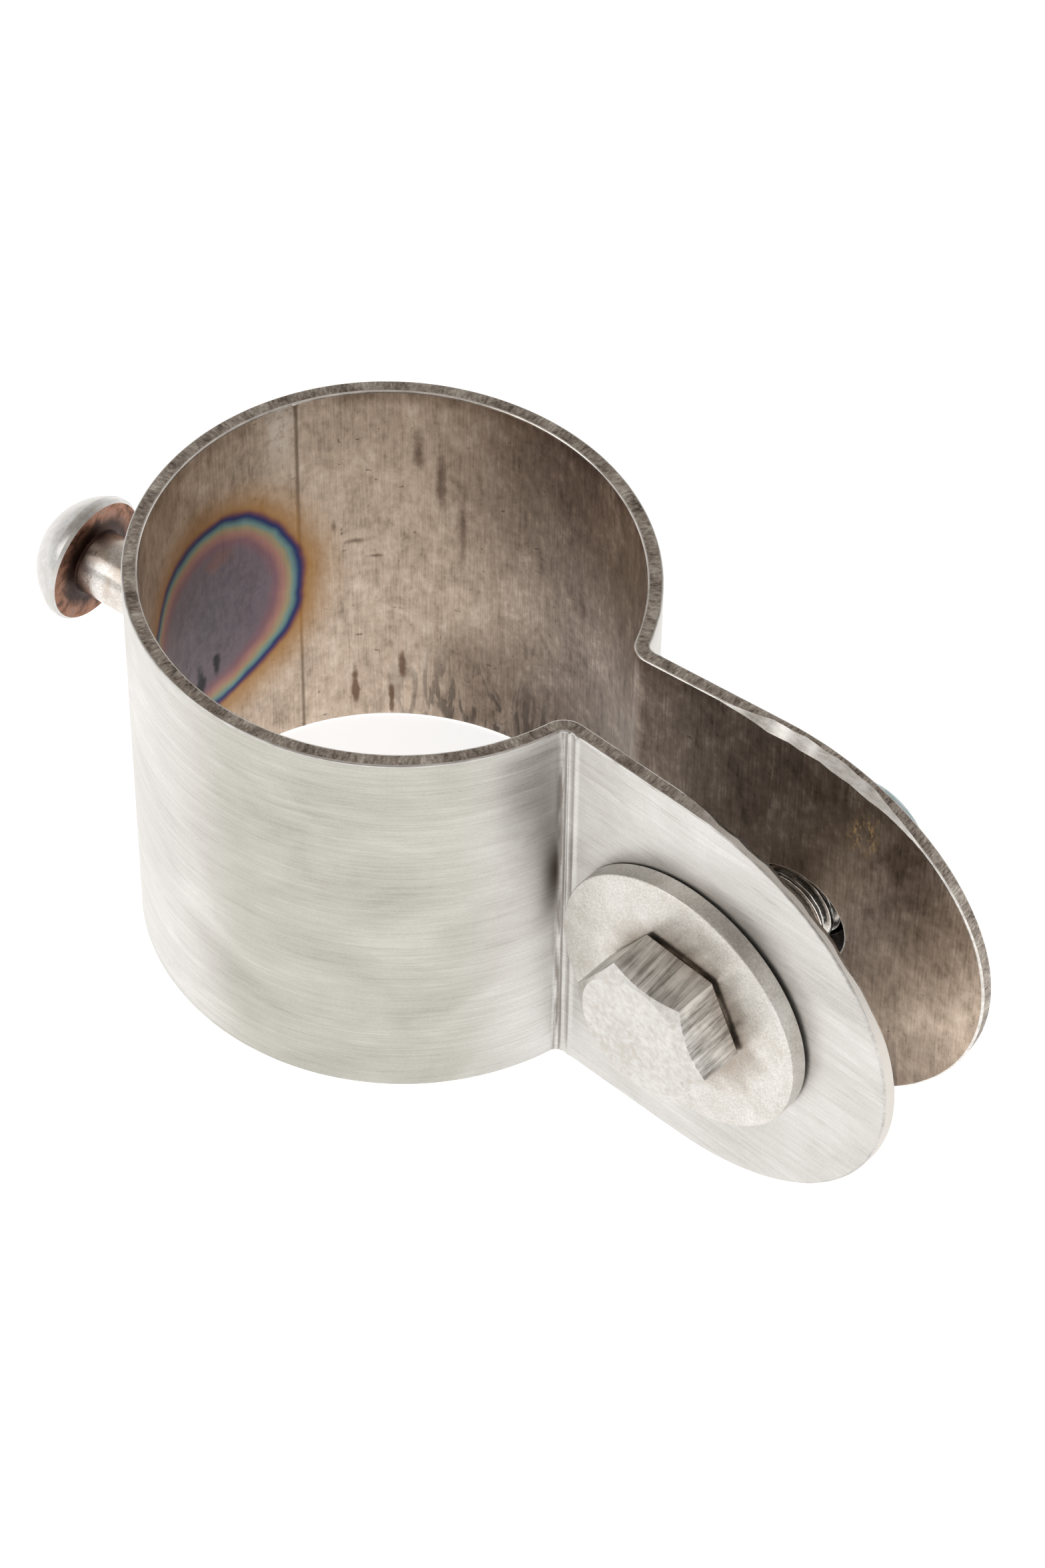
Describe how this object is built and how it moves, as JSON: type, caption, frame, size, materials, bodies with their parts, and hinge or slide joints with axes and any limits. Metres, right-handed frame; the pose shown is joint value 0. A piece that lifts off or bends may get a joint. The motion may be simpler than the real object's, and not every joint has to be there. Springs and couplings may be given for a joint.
{
  "type": "pipe clamp",
  "caption": "Stainless strip clamp for a 60.3 mm pipe, with two ears drawn together by a hex bolt and lock nut, and a welded button-head stud at the back.",
  "frame": {"origin": "on the pipe axis, in the plane of the strip's lower edge", "axes": "+Z along the pipe, +X from the pipe axis towards the ears, +Y across the gap towards the nut"},
  "size_m": [0.141, 0.065, 0.06],
  "materials": {
    "stainless_strip": "brushed stainless strip with heat tint",
    "stainless_bright": "satin stainless steel",
    "weld": "straw and blue tinted weld metal",
    "zinc_plate": "blue passivated zinc plate",
    "nylon": "matt nylon"
  },
  "bodies": {
    "clamp_body": {"band_front": "stainless_strip", "mounting_stud": "stainless_bright", "stud_weld": "weld"},
    "rear_jaw": {"band_rear": "stainless_strip"},
    "bolt": {"hex_bolt": "stainless_bright"},
    "front_washer": {"front_washer": "stainless_bright"},
    "rear_washer": {"rear_washer": "stainless_bright"},
    "nut": {"lock_nut": "zinc_plate", "nut_insert": "nylon"}
  },
  "joints": [
    {"name": "bolt_turn", "type": "hinge", "parent": "clamp_body", "child": "bolt", "pos_m": [0.056, 0, 0.0289], "axis": [0.0872, 0.9962, 0], "continuous": true},
    {"name": "front_washer_turn", "type": "hinge", "parent": "clamp_body", "child": "front_washer", "pos_m": [0.056, 0, 0.0289], "axis": [0.0872, 0.9962, 0], "continuous": true},
    {"name": "nut_advance", "type": "slide", "parent": "bolt", "child": "rear_washer", "axis": [0.0872, 0.9962, 0], "range_m": [-0.00525, 0]},
    {"name": "nut_turn", "type": "hinge", "parent": "rear_washer", "child": "nut", "pos_m": [0.056, 0, 0.0289], "axis": [0.0872, 0.9962, 0], "range_deg": [-1080, 0]},
    {"name": "jaw_close", "type": "hinge", "parent": "clamp_body", "child": "rear_jaw", "pos_m": [-0.02702, 0.0156, 0.03], "axis": [0, 0, 1], "range_deg": [-2.93, 0]}
  ],
  "couplings": [
    {"joint": "nut_advance", "follows": "jaw_close", "m_per_rad": 0.10255},
    {"joint": "nut_turn", "follows": "jaw_close", "ratio": 368.19}
  ]
}
